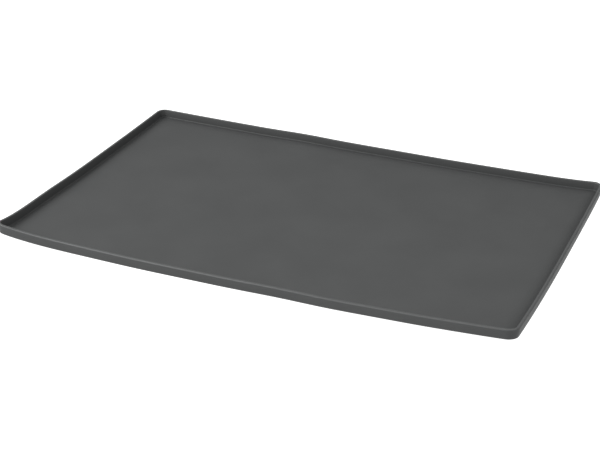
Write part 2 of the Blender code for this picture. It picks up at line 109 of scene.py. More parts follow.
# %% [markdown]
# ## Helpers for node trees
#
# Materials and Geometry Nodes are both trees of nodes. One function adds a node, sets it up and
# links it, so each tree below reads like a list of steps. Colours are written as sRGB hex values, as
# in any paint program, and shaders want linear light, so one function converts them.


# %% Define the node helpers
def linear(hex_colour):
    """The linear RGBA of an sRGB hex colour."""
    channels = [int(hex_colour[place : place + 2], 16) / 255 for place in (1, 3, 5)]
    return (*[c / 12.92 if c <= 0.04045 else ((c + 0.055) / 1.055) ** 2.4 for c in channels], 1.0)


def add_node(tree, kind, inputs=None, **settings):
    """Adds a node with its settings; each input takes a value, another node's output, or several."""
    node = tree.nodes.new(kind)
    for setting, value in settings.items():
        setattr(node, setting, value)
    for socket, value in (inputs or {}).items():
        if isinstance(value, (list, bpy.types.NodeSocket)):
            for output in value if isinstance(value, list) else [value]:
                tree.links.new(output, node.inputs[socket])
        else:
            node.inputs[socket].default_value = value
    return node


def new_tree(name, inputs):
    """An empty Geometry Nodes tree with named inputs; returns it, its inputs and its output node."""
    tree = bpy.data.node_groups.new(name, "GeometryNodeTree")
    for label, kind in {"Geometry": "Geometry", **inputs}.items():
        tree.interface.new_socket(label, in_out="INPUT", socket_type="NodeSocket" + kind)
    tree.interface.new_socket("Geometry", in_out="OUTPUT", socket_type="NodeSocketGeometry")
    given = tree.nodes.new("NodeGroupInput")
    return tree, given.outputs, tree.nodes.new("NodeGroupOutput")


def close_tree(tree, geometry, material, output):
    """Ends a tree: copies become real geometry, and the geometry gets its material."""
    real = add_node(tree, "GeometryNodeRealizeInstances", {"Geometry": geometry})
    smooth = add_node(tree, "GeometryNodeSetShadeSmooth", {"Geometry": real.outputs[0]})
    given = {"Geometry": smooth.outputs[0], "Material": material}
    painted = add_node(tree, "GeometryNodeSetMaterial", given)
    tree.links.new(painted.outputs[0], output.inputs[0])


def link_object(name, mesh):
    """A new object for a mesh, at the origin."""
    obj = bpy.data.objects.new(name, mesh)
    bpy.context.scene.collection.objects.link(obj)
    return obj


def plain_mesh(obj):
    """Turns what the modifiers make of an object into its own mesh, and removes them."""
    graph = bpy.context.evaluated_depsgraph_get()
    made = bpy.data.meshes.new_from_object(
        obj.evaluated_get(graph), preserve_all_data_layers=True, depsgraph=graph
    )
    obj.modifiers.clear()
    obj.data = made
    return obj


def grow(name, tree, values, start=None):
    """Runs a Geometry Nodes tree on a start mesh and keeps the result as a plain mesh."""
    obj = link_object(name, start or bpy.data.meshes.new(name))
    modifier = obj.modifiers.new("grow", "NODES")
    modifier.node_group = tree
    for item in tree.interface.items_tree:
        if item.in_out == "INPUT" and item.name in values:
            modifier[item.identifier] = values[item.name]
    return plain_mesh(obj)


# %% [markdown]
# ## Materials
#
# Each finish below is named for the real material and for how its surface was made. All share a
# Principled shader. What is even all over is a value on the shader itself, and what varies comes from
# noise whose scale is a real size in millimetres.


# %% Define a starting finish
def new_finish(name, colour, roughness, metallic=0.0, ior=1.5):
    """A material with a Principled shader; returns the material, its tree and the shader."""
    material = bpy.data.materials.new(name)
    material.use_nodes = True
    shader = material.node_tree.nodes["Principled BSDF"]
    shader.inputs["Base Color"].default_value = linear(colour)
    shader.inputs["Roughness"].default_value = roughness
    shader.inputs["Metallic"].default_value = metallic
    if metallic == 0:
        shader.inputs["IOR"].default_value = ior
    return material, material.node_tree, shader


# %% [markdown]
# A Mix node has a socket called A for numbers, another for vectors and a third for colours, so the
# colour ones are named here by their place. Most noise values lie near the middle of 0 to 1, so a
# pattern's two tones are reached well before its ends.

# %% Name the mix sockets and the edges of a cloud
MIX_FACTOR, MIX_A, MIX_B, MIX_COLOUR = 0, 6, 7, 2
CLOUD_EDGES = (0.35, 0.65)
print("a cloud fades over noise values from", CLOUD_EDGES[0], "to", CLOUD_EDGES[1])

# %% [markdown]
# ### Moulded silicone
#
# The tray and its base are press-moulded silicone rubber, coloured through with a dark pigment. The
# steel mould is bead-blasted, so the surface is matte with a very fine grain, about half a millimetre
# across. Silicone also has a faint cloudy bloom, patches some 70 mm wide that are barely lighter.
# The inner face of the rim and the floor along its foot carry a painted shade, darker than the open floor.
# The crest of the rim is a little smoother from handling, and its colour is lighter there as a painted
# highlight. Two attributes of the mesh say where those are.
# The grain is drawn at 0.9 mm, coarser than it is, so that it shows at all.


# %% Make the silicone
def moulded_silicone():
    """Dark silicone with a cloudy bloom, a painted shade at the foot of the rim and a smoother crest with a
    painted highlight.
    """
    material, tree, shader = new_finish("moulded_silicone", "#4A4B4B", 0.5, ior=1.41)
    where = add_node(tree, "ShaderNodeTexCoord").outputs["Object"]
    clouds = {"Vector": where, "Scale": 1 / (70 * MM), "Detail": 4.0}
    bloom = add_node(tree, "ShaderNodeTexNoise", clouds).outputs["Fac"]
    spread = {"Value": bloom, "From Min": CLOUD_EDGES[0], "From Max": CLOUD_EDGES[1]}
    paleness = add_node(tree, "ShaderNodeMapRange", spread).outputs["Result"]
    tones = {MIX_FACTOR: paleness, MIX_A: linear("#494A4A"), MIX_B: linear("#4C4D4D")}
    body = add_node(tree, "ShaderNodeMix", tones, data_type="RGBA").outputs[MIX_COLOUR]
    # Painted shade: darkens the inner face of the rim and the floor by its foot.
    foot_shade = add_node(tree, "ShaderNodeAttribute", attribute_name="sheltered").outputs["Fac"]
    tones = {MIX_FACTOR: foot_shade, MIX_A: body, MIX_B: linear("#424343")}
    with_painted_shade = add_node(tree, "ShaderNodeMix", tones, data_type="RGBA").outputs[MIX_COLOUR]
    # Painted highlight: lightens the colour of the rim's crest; the lower roughness below is the crest's
    # smoother finish.
    crest = add_node(tree, "ShaderNodeAttribute", attribute_name="rim_crest").outputs["Fac"]
    tones = {MIX_FACTOR: crest, MIX_A: with_painted_shade, MIX_B: linear("#545555")}
    with_painted_highlight = add_node(tree, "ShaderNodeMix", tones, data_type="RGBA").outputs[MIX_COLOUR]
    tree.links.new(with_painted_highlight, shader.inputs["Base Color"])
    burnish = {"Value": crest, "To Min": 0.52, "To Max": 0.42}
    polish = add_node(tree, "ShaderNodeMapRange", burnish).outputs["Result"]
    tree.links.new(polish, shader.inputs["Roughness"])
    beads = {"Vector": where, "Scale": 1 / (0.9 * MM), "Detail": 2.0}
    grain = add_node(tree, "ShaderNodeTexNoise", beads).outputs["Fac"]
    relief = add_node(tree, "ShaderNodeBump", {"Height": grain, "Distance": 0.03 * MM, "Strength": 1.0})
    tree.links.new(relief.outputs["Normal"], shader.inputs["Normal"])
    return material


SILICONE = moulded_silicone()

# %% [markdown]
# ### The hidden layers and the inlet box
#
# Nobody sees the layers while the mat is whole, but a reader who hides the tray should find each one
# to be what it is. Their finishes differ in few things: two tones and the width of the patches
# between them, the relief and its grain, and how far the grain is drawn out along X by rolling,
# drawing or calendering. So one function makes them all, and a comment says what each one is. The
# numbers after the two tones are the patches' width, the roughness, the grain's width and its depth.


# %% Make the other finishes
def worked_finish(name, tones, patch, roughness, grain, depth, drawn_out=1.0, metallic=0.0, ior=1.5):
    """A two-tone finish with a grain of its own, drawn out along X by how it was worked."""
    material, tree, shader = new_finish(name, tones[0], roughness, metallic, ior)
    where = add_node(tree, "ShaderNodeTexCoord").outputs["Object"]
    stretch = {"Vector": where, "Scale": (1 / drawn_out, 1, 1)}
    along = add_node(tree, "ShaderNodeMapping", stretch).outputs["Vector"]
    clouds = add_node(tree, "ShaderNodeTexNoise", {"Vector": along, "Scale": 1 / patch, "Detail": 3.0})
    spread = {"Value": clouds.outputs["Fac"], "From Min": CLOUD_EDGES[0], "From Max": CLOUD_EDGES[1]}
    cover = add_node(tree, "ShaderNodeMapRange", spread).outputs["Result"]
    mixing = {MIX_FACTOR: cover, MIX_A: linear(tones[0]), MIX_B: linear(tones[1])}
    mixed = add_node(tree, "ShaderNodeMix", mixing, data_type="RGBA").outputs[MIX_COLOUR]
    tree.links.new(mixed, shader.inputs["Base Color"])
    fine = add_node(tree, "ShaderNodeTexNoise", {"Vector": along, "Scale": 1 / grain, "Detail": 2.0})
    heights = {"Height": fine.outputs["Fac"], "Distance": depth, "Strength": 1.0}
    relief = add_node(tree, "ShaderNodeBump", heights)
    tree.links.new(relief.outputs["Normal"], shader.inputs["Normal"])
    return material


# Die-cut sheet of unvulcanised rubber, pressed while tacky: dull, with broad thumb-sized clouds.
BOND = worked_finish(
    "die_cut_bonding_rubber", ("#2B2C2D", "#323334"), 20 * MM, 0.8, 1.2 * MM, 0.04 * MM
)
# Needled aramid felt: pale straw, with loose fibres that lie mostly along the roll. Fibres are
# 0.02 mm thick, so tufts of them are drawn instead.
FLEECE = worked_finish(
    "needled_aramid_fleece", ("#D9D2BC", "#E8E3D2"), 3 * MM, 0.95, 0.7 * MM, 0.12 * MM, drawn_out=4.0
)
# Cast polyester film with an amber stabiliser: glossy, with faint die lines along the roll.
FILM = worked_finish(
    "cast_polyester_film",
    ("#A9782F", "#B58440"),
    9 * MM,
    0.28,
    2 * MM,
    0.01 * MM,
    drawn_out=30.0,
    ior=1.64,
)
# Cold-rolled iron-chromium foil, etched to a ribbon: warm grey metal with rolling lines.
RESISTANCE_FOIL = worked_finish(
    "rolled_resistance_foil",
    ("#98918A", "#A9A39B"),
    4 * MM,
    0.36,
    0.4 * MM,
    0.01 * MM,
    drawn_out=12.0,
    metallic=1.0,
)
# Aluminium foil, matte side up: bright, softly crinkled every few millimetres by laying.
FOIL = worked_finish(
    "laid_aluminium_foil", ("#C9CBCD", "#D6D8DA"), 40 * MM, 0.34, 6 * MM, 0.08 * MM, metallic=1.0
)
# Nylon with 30% glass, moulded in a spark-eroded steel tool: satin black, fine leathery grain.
NYLON = worked_finish("spark_textured_nylon", ("#2B2C2D", "#303132"), 8 * MM, 0.46, 0.45 * MM, 0.03 * MM)
# Pressed black rubber for gasket, gland seal and feet: duller than silicone, slightly dusty.
RUBBER = worked_finish("pressed_black_rubber", ("#1D1D1E", "#262627"), 6 * MM, 0.78, 0.6 * MM, 0.03 * MM)
# Turned and tumbled stainless steel: soft sheen, the tool marks nearly gone.
STEEL = worked_finish(
    "tumbled_stainless_steel", ("#B6B5B2", "#C4C3C0"), 0.8 * MM, 0.3, 0.15 * MM, 0.004 * MM, metallic=1.0
)
# Pale polyamide terminal body, polished tool: slight gloss.
TERMINAL = worked_finish(
    "moulded_terminal_polyamide", ("#D8D3C6", "#E1DDD1"), 4 * MM, 0.42, 0.5 * MM, 0.01 * MM
)
# Phenolic case of the thermal cut-out: dark brown-black, hard and glossy.
PHENOLIC = worked_finish("pressed_phenolic", ("#221F1E", "#2A2624"), 3 * MM, 0.35, 0.4 * MM, 0.01 * MM)
# Tin-plated copper of the crimps: bright, a little cloudy where the tin flowed.
TIN = worked_finish(
    "tinned_copper", ("#BBB9B4", "#CCCAC5"), 1.5 * MM, 0.33, 0.3 * MM, 0.006 * MM, metallic=1.0
)
# Extruded silicone on the leads: waxy, cream white.
INSULATION = worked_finish(
    "extruded_silicone_insulation", ("#C3BFB3", "#CCC8BD"), 5 * MM, 0.55, 0.4 * MM, 0.01 * MM, ior=1.41
)
print("finishes made:", len(bpy.data.materials))

# %% [markdown]
# ## How the empty mat lies
#
# A soft mat that has been rolled up never lies quite flat. Its middle rests on the table while its
# corners keep a memory of the roll. One rule describes that: no curl reaches inside the diamond that
# joins the middles of the four sides, and outside it the height grows towards each corner, gently for
# a broad curl and steeply for a tight one. Soft rims also wave by up to about a millimetre, which
# fades quickly towards the middle of the mat.
# Cloth simulation could do this too, but a rule lifts every layer alike, so that layers only
# hundredths of a millimetre apart never cut through each other.

# %% Define the lie of the mat
CORNER_CURLS = {  # (side in X, side in Y): (broad curl, tight curl)
    (-1, -1): (1.9 * MM, 6.6 * MM),
    (1, -1): (10.3 * MM, 0.6 * MM),
    (1, 1): (1.6 * MM, 3.9 * MM),
    (-1, 1): (1.8 * MM, 0.2 * MM),
}
BROAD_POWER = 2
TIGHT_POWER = 8
WAVE_POWER = 4
RIM_WAVES = (  # (which rim, place along it, height, half-width), all in millimetres
    ("front", -230, -0.16, 35),
    ("front", -120, -0.67, 60),
    ("front", 45, 1.17, 45),
    ("front", 150, 0.45, 50),
    ("front", 240, 0.15, 35),
    ("rear", -88, 0.97, 38),
    ("rear", 95, -0.22, 45),
    ("rear", 200, 0.2, 45),
    ("left", -165, 0.22, 40),
    ("left", -95, 0.99, 45),
    ("left", 0, -0.2, 50),
    ("left", 110, -0.14, 45),
)


def lift(x, y):
    """How far the mat stands off the table at x and y, beyond its own thickness."""
    along, across = 2 * x / LENGTH, 2 * y / WIDTH
    outside = np.clip(np.abs(along) + np.abs(across) - 1, 0, 1)
    height = np.zeros_like(outside)
    for (side_x, side_y), (broad, tight) in CORNER_CURLS.items():
        here = (side_x * along >= 0) & (side_y * across > 0)
        height += here * (broad * outside**BROAD_POWER + tight * outside**TIGHT_POWER)
    rims = {"front": (-across, x), "rear": (across, x), "left": (-along, y)}
    for rim, middle, size, half_width in RIM_WAVES:
        towards_rim, place = rims[rim]
        nearness = np.clip(towards_rim, 0, 1) ** WAVE_POWER
        height += nearness * size * MM * np.exp(-(((place / MM - middle) / half_width) ** 2))
    return height


def points_of(mesh):
    points = np.empty(len(mesh.vertices) * 3)
    mesh.vertices.foreach_get("co", points)
    return points.reshape(-1, 3)


def settle(obj):
    """Lifts a piece's vertices to where the empty mat lies."""
    points = points_of(obj.data)
    points[:, 2] += lift(points[:, 0], points[:, 1])
    obj.data.vertices.foreach_set("co", points.ravel())
    obj.data.update()


def place_piece(obj, slot, *nodes):
    """Fixes a finished piece to the mat and hides the solids it stands for; slot is not used."""
    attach(obj, "root")
    if nodes:
        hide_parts(*nodes)
    print(f"{obj.name}: {len(obj.data.polygons)} faces")
    return obj


# %% [markdown]
# ## The silicone tray
#
# Seen in section, the tray is one wall: floor, fillet, inner face, rounded crest, outer face, rounded
# foot, lip and recess. Carried round the outline it makes the whole rim, so the section and
# the outline are drawn once each as lines, and a Geometry Nodes tree sweeps one along the other.
# Curve to Mesh lays the section's X along the curve's normal, so the tree sets that normal itself, to
# point from each spot on the outline to the flat middle area. That keeps the corners true arcs. The
# section ends where those arcs shrink to a point, and there two plain grids close floor and recess.


# %% Draw the tray's section and outline
def arc(centre_a, centre_b, radius, start, end, steps):
    """Points of an arc from start to end, in degrees, both ends included."""
    angles = np.radians(np.linspace(start, end, steps + 1))
    return [(centre_a + radius * math.cos(t), centre_b + radius * math.sin(t)) for t in angles]


def line_mesh(name, points, closed=False):
    """A mesh of one run of edges through the points."""
    mesh = bpy.data.meshes.new(name)
    edges = [(start, start + 1) for start in range(len(points) - 1)]
    if closed:
        edges.append((len(points) - 1, 0))
    mesh.from_pydata([(*point, 0)[:3] for point in points], edges, [])
    return mesh


RIM_THICKNESS = 3.6 * MM
OUTER_ROUND = 1.8 * MM
INNER_ROUND = 0.6 * MM
INNER_DRAFT = 1.0 * MM  # how much thicker the wall is at the floor than at the rim
OUTER_FLARE = 0.8 * MM  # how far the foot stands in from the rim
FILLET_RADIUS = 1.5 * MM
FLOOR_ROW = 9 * MM  # an extra row of points on the floor, just past the fillet
FOOT_ROUND = 0.9 * MM
LIP_WIDTH = 6 * MM
RECESS_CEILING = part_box("perimeter_seal")[1].z + 0.05 * MM


def tray_section():
    """The wall's section as (inset from the outline, height)."""
    fillet_inset = RIM_THICKNESS + INNER_DRAFT + FILLET_RADIUS
    section = [(CORNER_RADIUS, FLOOR), (FLOOR_ROW, FLOOR)]
    section += arc(fillet_inset, FLOOR + FILLET_RADIUS, FILLET_RADIUS, 270, 190, 6)
    inner_centre = (RIM_THICKNESS - INNER_ROUND, RIM_TOP - INNER_ROUND)
    section += arc(*inner_centre, INNER_ROUND, 10, 90, 5)
    section += arc(OUTER_ROUND, RIM_TOP - OUTER_ROUND, OUTER_ROUND, 90, 175, 9)
    foot_centre = (OUTER_FLARE + FOOT_ROUND, LIP_BOTTOM + FOOT_ROUND)
    section += arc(*foot_centre, FOOT_ROUND, 175, 270, 5)
    section += [(LIP_WIDTH, LIP_BOTTOM), (LIP_WIDTH, RECESS_CEILING), (CORNER_RADIUS, RECESS_CEILING)]
    return section


STEPS_ALONG, STEPS_ACROSS, CORNER_STEPS = 72, 48, 10
FLAT_HALF = Vector((LENGTH / 2 - CORNER_RADIUS, WIDTH / 2 - CORNER_RADIUS, 0))


def tray_outline():
    """The outline's points, anticlockwise, with the sides cut into as many steps as the grids."""
    outline = []
    for turn_count, (side_x, side_y) in enumerate(((1, 1), (-1, 1), (-1, -1), (1, -1))):
        centre = (side_x * FLAT_HALF.x, side_y * FLAT_HALF.y)
        corner = arc(*centre, CORNER_RADIUS, 90 * turn_count, 90 * turn_count + 90, CORNER_STEPS)
        steps = STEPS_ALONG if turn_count % 2 == 0 else STEPS_ACROSS
        run = 2 * (FLAT_HALF.x if turn_count % 2 == 0 else FLAT_HALF.y)
        heading = Vector((-side_x, 0)) if turn_count % 2 == 0 else Vector((0, -side_y))
        end = Vector(corner[-1])
        outline += corner + [tuple(end + heading * run * k / steps) for k in range(1, steps)]
    return outline


section_line = link_object("tray_section", line_mesh("tray_section", tray_section()))
outline_mesh = line_mesh("tray_outline", tray_outline(), closed=True)
print(len(tray_section()), "points in the section,", len(tray_outline()), "round the outline")


# %% Build the sweep tree
def sweep_tree():
    inputs = {"Section": "Object", "Flat Size": "Vector", "Floor": "Float", "Ceiling": "Float"}
    inputs |= {"Steps Along": "Int", "Steps Across": "Int", "Material": "Material"}
    tree, given, output = new_tree("sweep_tray", inputs)
    half = add_node(tree, "ShaderNodeVectorMath", {0: given["Flat Size"], "Scale": 0.5}, operation="SCALE")
    low = add_node(tree, "ShaderNodeVectorMath", {0: half.outputs[0], "Scale": -1.0}, operation="SCALE")
    spot = add_node(tree, "GeometryNodeInputPosition").outputs[0]
    raised = add_node(tree, "ShaderNodeVectorMath", {0: spot, 1: low.outputs[0]}, operation="MAXIMUM")
    nearest = add_node(
        tree, "ShaderNodeVectorMath", {0: raised.outputs[0], 1: half.outputs[0]}, operation="MINIMUM"
    )
    inwards = add_node(
        tree, "ShaderNodeVectorMath", {0: nearest.outputs[0], 1: spot}, operation="SUBTRACT"
    )
    path = add_node(tree, "GeometryNodeMeshToCurve", {"Mesh": given["Geometry"]})
    steered = add_node(
        tree,
        "GeometryNodeSetCurveNormal",
        {"Curve": path.outputs[0], "Normal": inwards.outputs[0]},
        mode="FREE",
    )
    section = add_node(tree, "GeometryNodeObjectInfo", {"Object": given["Section"]})
    profile = add_node(tree, "GeometryNodeMeshToCurve", {"Mesh": section.outputs["Geometry"]})
    wall = add_node(
        tree,
        "GeometryNodeCurveToMesh",
        {"Curve": steered.outputs[0], "Profile Curve": profile.outputs[0]},
    )
    parts = [wall.outputs[0]]
    size = add_node(tree, "ShaderNodeSeparateXYZ", {0: given["Flat Size"]})
    columns = add_node(tree, "ShaderNodeMath", {0: given["Steps Along"], 1: 1.0}, operation="ADD")
    rows = add_node(tree, "ShaderNodeMath", {0: given["Steps Across"], 1: 1.0}, operation="ADD")
    grid_inputs = {"Size X": size.outputs[0], "Size Y": size.outputs[1]}
    grid_inputs |= {"Vertices X": columns.outputs[0], "Vertices Y": rows.outputs[0]}
    grid = add_node(tree, "GeometryNodeMeshGrid", grid_inputs).outputs["Mesh"]
    under = add_node(tree, "GeometryNodeFlipFaces", {"Mesh": grid}).outputs[0]
    for sheet, height in ((grid, given["Floor"]), (under, given["Ceiling"])):
        up = add_node(tree, "ShaderNodeCombineXYZ", {"Z": height})
        moved = {"Geometry": sheet, "Translation": up.outputs[0]}
        parts.append(add_node(tree, "GeometryNodeTransform", moved).outputs[0])
    whole = add_node(tree, "GeometryNodeJoinGeometry", {"Geometry": parts})
    welded = add_node(
        tree, "GeometryNodeMergeByDistance", {"Geometry": whole.outputs[0], "Distance": 0.02 * MM}
    )
    close_tree(tree, welded.outputs[0], given["Material"], output)
    return tree


tray = grow(
    "silicone_tray",
    sweep_tree(),
    {
        "Section": section_line,
        "Flat Size": 2 * FLAT_HALF,
        "Floor": FLOOR,
        "Ceiling": RECESS_CEILING,
        "Steps Along": STEPS_ALONG,
        "Steps Across": STEPS_ACROSS,
        "Material": SILICONE,
    },
    outline_mesh,
)
bpy.data.objects.remove(section_line)

# %% [markdown]
# The heater's tail and the tongue of the inlet box leave under the middle of the rear rim, so the rim
# has a low notch there. It is one straight cut, which a Boolean modifier makes exactly.


# %% Cut the notch
def cut_away(obj, cutter):
    """Takes the cutter's shape out of an object and removes the cutter."""
    hole = obj.modifiers.new("cut", "BOOLEAN")
    hole.operation = "DIFFERENCE"
    hole.solver = "EXACT"
    hole.object = cutter
    plain_mesh(obj)
    bpy.data.objects.remove(cutter)


def block_between(name, low, high):
    """A plain block between two corners."""
    bm = bmesh.new()
    bmesh.ops.create_cube(bm, size=1.0)
    bmesh.ops.scale(bm, vec=high - low, verts=bm.verts)
    bmesh.ops.translate(bm, vec=(high + low) / 2, verts=bm.verts)
    mesh = bpy.data.meshes.new(name)
    bm.to_mesh(mesh)
    bm.free()
    return link_object(name, mesh)


NOTCH_HALF, NOTCH_TOP = 13.5 * MM, 2 * MM
notch_low = Vector((-NOTCH_HALF, WIDTH / 2 - LIP_WIDTH - 1 * MM, -1 * MM))
notch_high = Vector((NOTCH_HALF, WIDTH / 2 + 1 * MM, NOTCH_TOP))
cut_away(tray, block_between("notch", notch_low, notch_high))
tray.data.set_sharp_from_angle(angle=math.radians(40))
print("tray faces after the cut:", len(tray.data.polygons))

# %% [markdown]
# The material needs to know where the crest of the rim is, so each vertex stores it: 1 on the crest, falling
# to 0 where the rounding ends. It also needs to know where to paint shade: 1 on the inner face of the rim and
# at its foot, falling to 0 further out on the floor. After that the tray can be lifted to where it lies.


# %% Mark crest and painted foot shade, and settle the tray
FOOT_SHADE_START = RIM_THICKNESS + INNER_DRAFT + FILLET_RADIUS
FOOT_SHADE_WIDTH = 18 * MM


def mark_points(obj, name, values):
    """Stores one number for each vertex, which a material can read by its name."""
    layer = obj.data.attributes.new(name, "FLOAT", "POINT")
    layer.data.foreach_set("value", values.astype(np.float32))


tray_points = points_of(tray.data)
below_crest = RIM_TOP - tray_points[:, 2]
mark_points(tray, "rim_crest", np.clip(1 - below_crest / OUTER_ROUND, 0, 1))
past_flat = np.maximum(np.abs(tray_points[:, :2]) - np.array(FLAT_HALF)[:2], 0)
to_sides = np.array([LENGTH, WIDTH]) / 2 - np.abs(tray_points[:, :2])
inset = np.where(past_flat.min(axis=1) > 0, CORNER_RADIUS - np.hypot(*past_flat.T), to_sides.min(axis=1))
# Painted shade: full on the inner face and at the foot of the rim, fading out over the floor beside it.
foot_shade = np.clip(1 - (inset - FOOT_SHADE_START) / FOOT_SHADE_WIDTH, 0, 1) ** 2
just_under_floor = FLOOR - 0.1 * MM
inside = (inset > RIM_THICKNESS - INNER_ROUND / 2) & (tray_points[:, 2] > just_under_floor)
mark_points(tray, "sheltered", foot_shade * inside)
settle(tray)
place_piece(tray, "silicone", "tray_shell")

# %% [markdown]
# ## The layers under the floor
#
# Under the tray's floor lie, from the bottom up, the base skin with its bonding frame, the fleece, a
# film, the heating track, another film and the foil that spreads the heat. The plain solids have the
# right outlines already, but only a few large faces, which can't bend. A copy of each is merged into
# one closed shell and cut along the lines of the tray's own floor grid, so that every layer bends at
# the same places as the tray.

# %% Copy and settle the layers
GRID_X = [FLAT_HALF.x * (2 * k / STEPS_ALONG - 1) for k in range(STEPS_ALONG + 1)]
GRID_Y = [FLAT_HALF.y * (2 * k / STEPS_ACROSS - 1) for k in range(STEPS_ACROSS + 1)]
LAYERS = {  # node: (finished piece, material slot, finish)
    "base_cover": ("base_skin", "silicone", SILICONE),
    "perimeter_seal": ("bonding_frame", "bond", BOND),
    "insulation_fleece": ("fleece_sheet", "fleece", FLEECE),
    "lower_film": ("film_under_track", "film", FILM),
    "upper_film": ("film_over_track", "film", FILM),
    "heat_spreader": ("spreader_foil", "foil", FOIL),
}


def merged_copy(node):
    """A frame node's shape as a new mesh, its loose triangles merged and flat areas made one face."""
    bm = bmesh.new()
    bm.from_mesh(frame["nodes"][node].data)
    bmesh.ops.remove_doubles(bm, verts=bm.verts, dist=0.001 * MM)
    bmesh.ops.dissolve_limit(bm, angle_limit=math.radians(1), verts=bm.verts, edges=bm.edges)
    return bm


def object_from(bm, name, material):
    """Ends a mesh that was built by hand and gives it its object and finish."""
    mesh = bpy.data.meshes.new(name)
    bm.to_mesh(mesh)
    bm.free()
    mesh.materials.append(material)
    return link_object(name, mesh)


def grid_cut(bm):
    """Cuts every face along the lines of the tray's floor grid."""
    for axis, places in ((Vector((1, 0, 0)), GRID_X), (Vector((0, 1, 0)), GRID_Y)):
        for place in places:
            everything = bm.verts[:] + bm.edges[:] + bm.faces[:]
            bmesh.ops.bisect_plane(
                bm, geom=everything, dist=0.001 * MM, plane_co=axis * place, plane_no=axis
            )


for node, (name, slot, material) in LAYERS.items():
    layer_bm = merged_copy(node)
    grid_cut(layer_bm)
    layer = object_from(layer_bm, name, material)
    settle(layer)
    place_piece(layer, slot, node)

# %% [markdown]
# ## The heating track
#
# The heater is one long ribbon of etched foil. It goes up and down the mat 28 times and comes back to
# the middle of the rear edge. Its route is a list of sharp corners only. Geometry Nodes round each
# corner by the radius stored there, space points evenly so that the ribbon can bend with the mat, and
# sweep a flat rectangle along it. Changing the pitch then means changing one number.

# %% Lay the track
TRACK_WIDTH = 5 * MM
TRACK_PITCH = 20 * MM
TRACK_COLUMNS = 28
TRACK_FRONT, TRACK_REAR = -175 * MM, 165 * MM
BUS_Y, BUS_RADIUS = 178 * MM, 8 * MM
TAIL_X, TAIL_END = 6 * MM, 207.5 * MM
track_low, track_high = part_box("heating_track")


def track_corners():
    """The sharp corners of the ribbon's route as (x, y, corner radius)."""
    first = -TRACK_PITCH * (TRACK_COLUMNS - 1) / 2
    turn = TRACK_PITCH / 2
    route = [(-TAIL_X, TAIL_END, 0), (-TAIL_X, BUS_Y, BUS_RADIUS), (first, BUS_Y, BUS_RADIUS)]
    for column in range(TRACK_COLUMNS - 1):
        end = TRACK_FRONT if column % 2 == 0 else TRACK_REAR
        left = first + TRACK_PITCH * column
        route += [(left, end, turn), (left + TRACK_PITCH, end, turn)]
    route += [(-first, BUS_Y, BUS_RADIUS), (TAIL_X, BUS_Y, BUS_RADIUS), (TAIL_X, TAIL_END, 0)]
    return route


def ribbon_tree():
    inputs = {"Width": "Float", "Thickness": "Float", "Spacing": "Float", "Material": "Material"}
    tree, given, output = new_tree("lay_ribbon", inputs)
    path = add_node(tree, "GeometryNodeMeshToCurve", {"Mesh": given["Geometry"]})
    stored = add_node(tree, "GeometryNodeInputNamedAttribute", {"Name": "turn_radius"})
    turns = {"Curve": path.outputs[0], "Radius": stored.outputs["Attribute"], "Count": 10}
    turns["Limit Radius"] = True
    rounded = add_node(tree, "GeometryNodeFilletCurve", turns, mode="POLY")
    spaced = add_node(
        tree,
        "GeometryNodeResampleCurve",
        {"Curve": rounded.outputs[0], "Length": given["Spacing"]},
        mode="LENGTH",
    )
    level = add_node(tree, "GeometryNodeSetCurveNormal", {"Curve": spaced.outputs[0]}, mode="Z_UP")
    section = add_node(
        tree,
        "GeometryNodeCurvePrimitiveQuadrilateral",
        {"Width": given["Width"], "Height": given["Thickness"]},
    )
    swept = {"Curve": level.outputs[0], "Profile Curve": section.outputs[0], "Fill Caps": True}
    ribbon = add_node(tree, "GeometryNodeCurveToMesh", swept)
    close_tree(tree, ribbon.outputs[0], given["Material"], output)
    return tree


corners = track_corners()
track_middle = (track_low.z + track_high.z) / 2
track_start = line_mesh("track_route", [(x, y, track_middle) for x, y, _ in corners])
radius_layer = track_start.attributes.new("turn_radius", "FLOAT", "POINT")
radius_layer.data.foreach_set("value", np.array([radius for _, _, radius in corners], np.float32))
track = grow(
    "etched_track",
    ribbon_tree(),
    {
        "Width": TRACK_WIDTH,
        "Thickness": track_high.z - track_low.z,
        "Spacing": 2.5 * MM,
        "Material": RESISTANCE_FOIL,
    },
    track_start,
)
track.data.set_sharp_from_angle(angle=math.radians(40))
settle(track)
place_piece(track, "track", "heating_track")

# %% [markdown]
# ## Grip on the underside
#
# Nine rubber pads carry the mat, and small moulded dots between them stop the skin from sliding and
# clinging. A pad is a turned shape, so it is drawn as half a section and spun. It is made once and
# placed on nine points, and the dots are flattened balls placed on a finer grid, left out close to
# a pad. Each dot's upper half is buried in the skin, so it needs only a few faces.

# %% Turn one pad
FOOT_CENTRES = [(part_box(node)[0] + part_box(node)[1]) / 2 for node in frame["nodes"] if node[:5] == "foot_"]
pad_low, pad_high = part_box("foot_middle_centre")
PAD_RADIUS, PAD_THICKNESS = (pad_high.x - pad_low.x) / 2, pad_high.z
GROOVE_DEPTH = 0.22 * MM


def turned_mesh(name, profile, axis, steps):
    """A closed profile of 3-D points spun once round an axis through the origin."""
    bm = bmesh.new()
    verts = [bm.verts.new(point) for point in profile]
    edges = [bm.edges.new(pair) for pair in zip(verts, verts[1:])]
    bmesh.ops.spin(
        bm, geom=verts + edges, cent=(0, 0, 0), axis=axis, angle=2 * math.pi, steps=steps, use_merge=True
    )
    bmesh.ops.remove_doubles(bm, verts=bm.verts, dist=0.001 * MM)
    bmesh.ops.recalc_face_normals(bm, faces=bm.faces)
    mesh = bpy.data.meshes.new(name)
    bm.to_mesh(mesh)
    bm.free()
    return mesh


